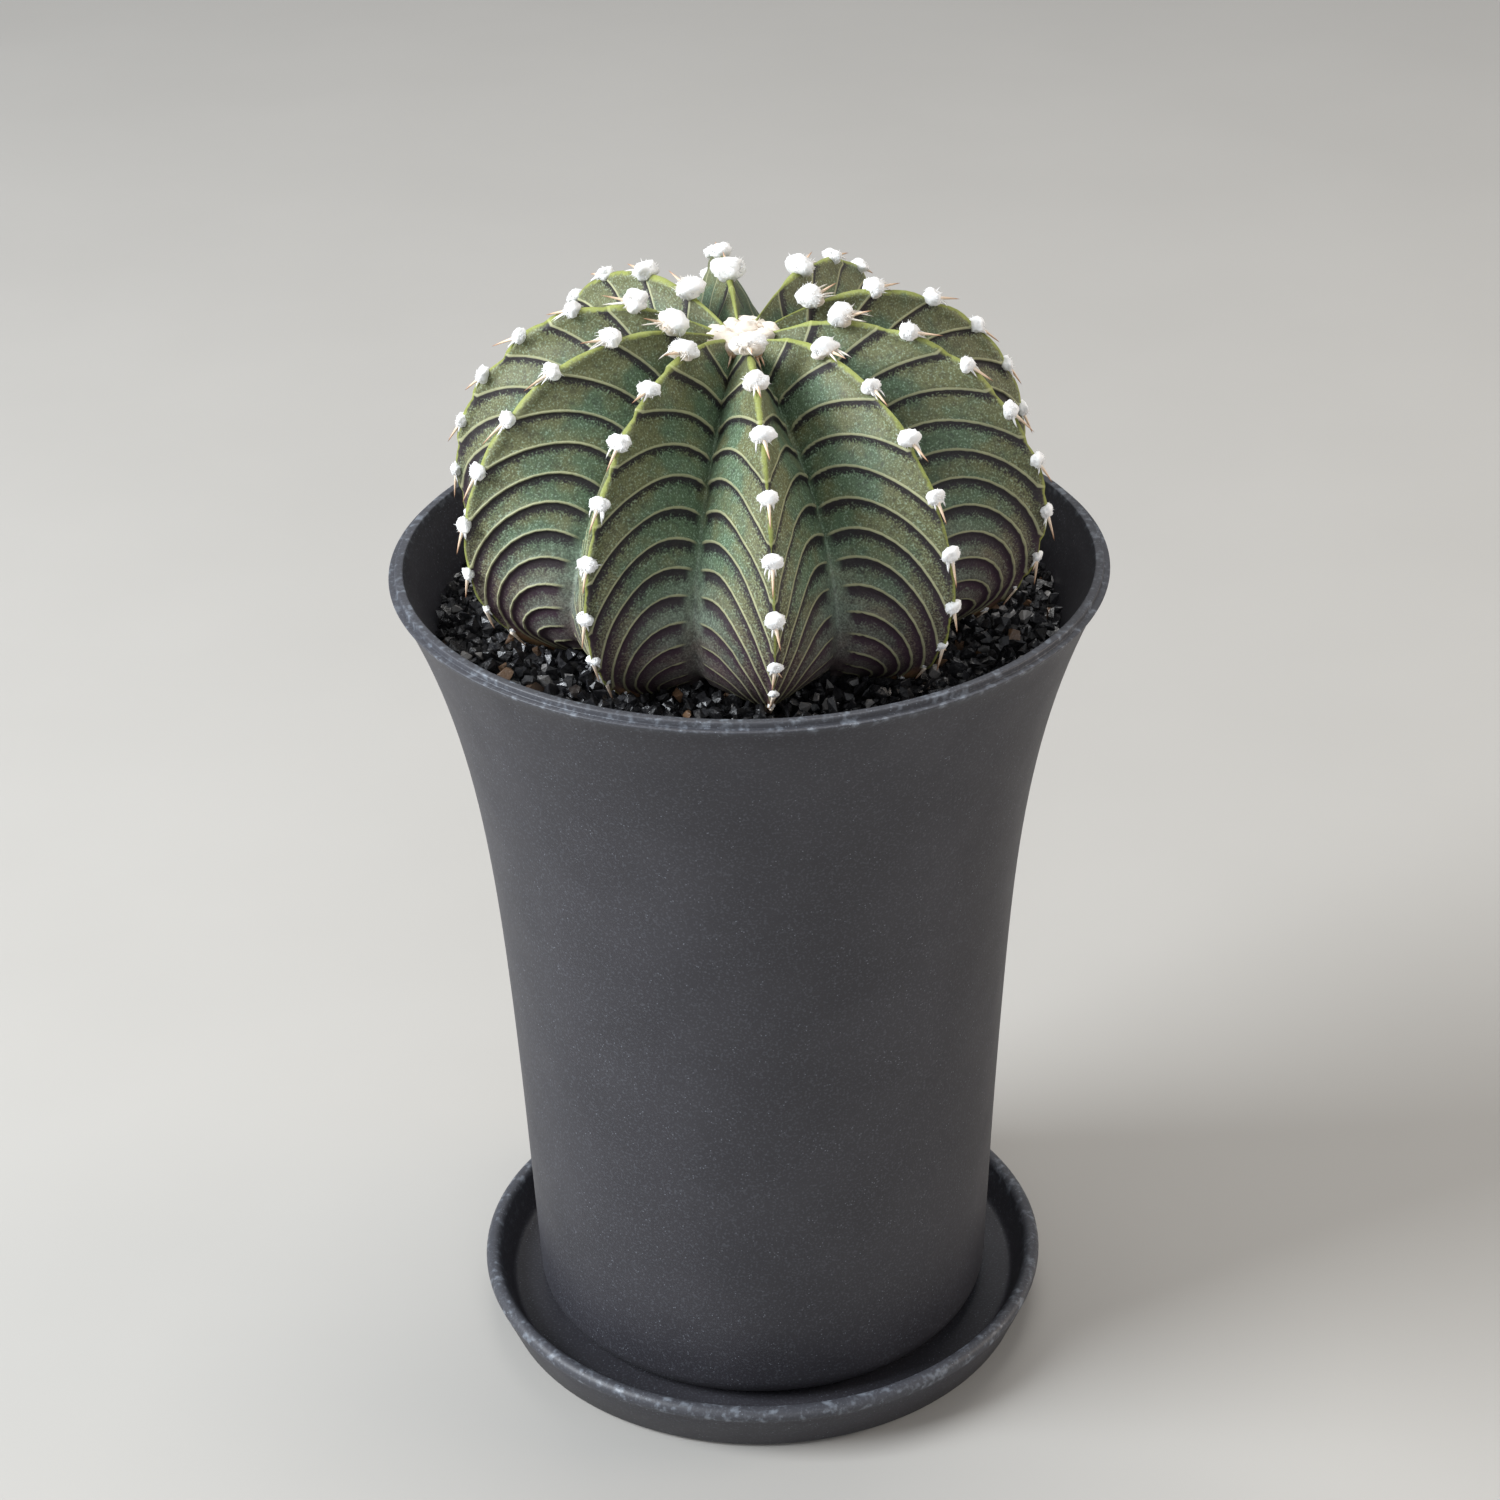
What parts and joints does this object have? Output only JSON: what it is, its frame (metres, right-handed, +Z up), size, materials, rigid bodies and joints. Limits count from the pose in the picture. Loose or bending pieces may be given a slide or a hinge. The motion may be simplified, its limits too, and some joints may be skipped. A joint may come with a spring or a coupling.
{
  "type": "potted round cactus",
  "caption": "Round ribbed cactus with banded flanks and woolly areoles, set in dark grit in a slim flared plastic pot that stands on a matching saucer.",
  "frame": {"origin": "middle of the saucer's underside, on the surface that the object stands on", "axes": "+Z up through the pot; -Y is the front, the side with the rib that faces the viewer"},
  "size_m": [0.09, 0.09, 0.1484],
  "materials": {
    "charcoal_plastic": "fine matte charcoal moulded plastic with worn light specks on the rim",
    "saucer_plastic": "matte charcoal moulded plastic, a little smoother on the lip",
    "potting_soil": "crumbly brown mineral potting mix",
    "lava_grit": "angular black lava grit with a few grey and tan grains",
    "cactus_skin": "finely speckled grey-green skin with pale crests and dark bands, purple at the base",
    "root_bark": "corky pale brown root bark",
    "areole_wool": "matted white wool with a cream spine",
    "crown_felt": "cream felted wool, tan where it is fresh"
  },
  "bodies": {
    "root": {"saucer": "saucer_plastic", "pot": "charcoal_plastic", "potting_soil": "potting_soil", "grit_layer": "lava_grit", "cactus_body": "cactus_skin", "taproot": "root_bark", "crown_wool": "crown_felt", "areole_rib01_1": "areole_wool", "areole_rib01_2": "areole_wool", "areole_rib01_3": "areole_wool", "areole_rib01_4": "areole_wool", "areole_rib01_5": "areole_wool", "areole_rib02_1": "areole_wool", "areole_rib02_2": "areole_wool", "areole_rib02_3": "areole_wool", "areole_rib02_4": "areole_wool", "areole_rib02_5": "areole_wool", "areole_rib03_1": "areole_wool", "areole_rib03_2": "areole_wool", "areole_rib03_3": "areole_wool", "areole_rib03_4": "areole_wool", "areole_rib03_5": "areole_wool", "areole_rib04_1": "areole_wool", "areole_rib04_2": "areole_wool", "areole_rib04_3": "areole_wool", "areole_rib04_4": "areole_wool", "areole_rib04_5": "areole_wool", "areole_rib05_1": "areole_wool", "areole_rib05_2": "areole_wool", "areole_rib05_3": "areole_wool", "areole_rib05_4": "areole_wool", "areole_rib05_5": "areole_wool", "areole_rib06_1": "areole_wool", "areole_rib06_2": "areole_wool", "areole_rib06_3": "areole_wool", "areole_rib06_4": "areole_wool", "areole_rib06_5": "areole_wool", "areole_rib07_1": "areole_wool", "areole_rib07_2": "areole_wool", "areole_rib07_3": "areole_wool", "areole_rib07_4": "areole_wool", "areole_rib07_5": "areole_wool", "areole_rib08_1": "areole_wool", "areole_rib08_2": "areole_wool", "areole_rib08_3": "areole_wool", "areole_rib08_4": "areole_wool", "areole_rib08_5": "areole_wool", "areole_rib09_1": "areole_wool", "areole_rib09_2": "areole_wool", "areole_rib09_3": "areole_wool", "areole_rib09_4": "areole_wool", "areole_rib09_5": "areole_wool", "areole_rib10_1": "areole_wool", "areole_rib10_2": "areole_wool", "areole_rib10_3": "areole_wool", "areole_rib10_4": "areole_wool", "areole_rib10_5": "areole_wool"}
  },
  "joints": []
}
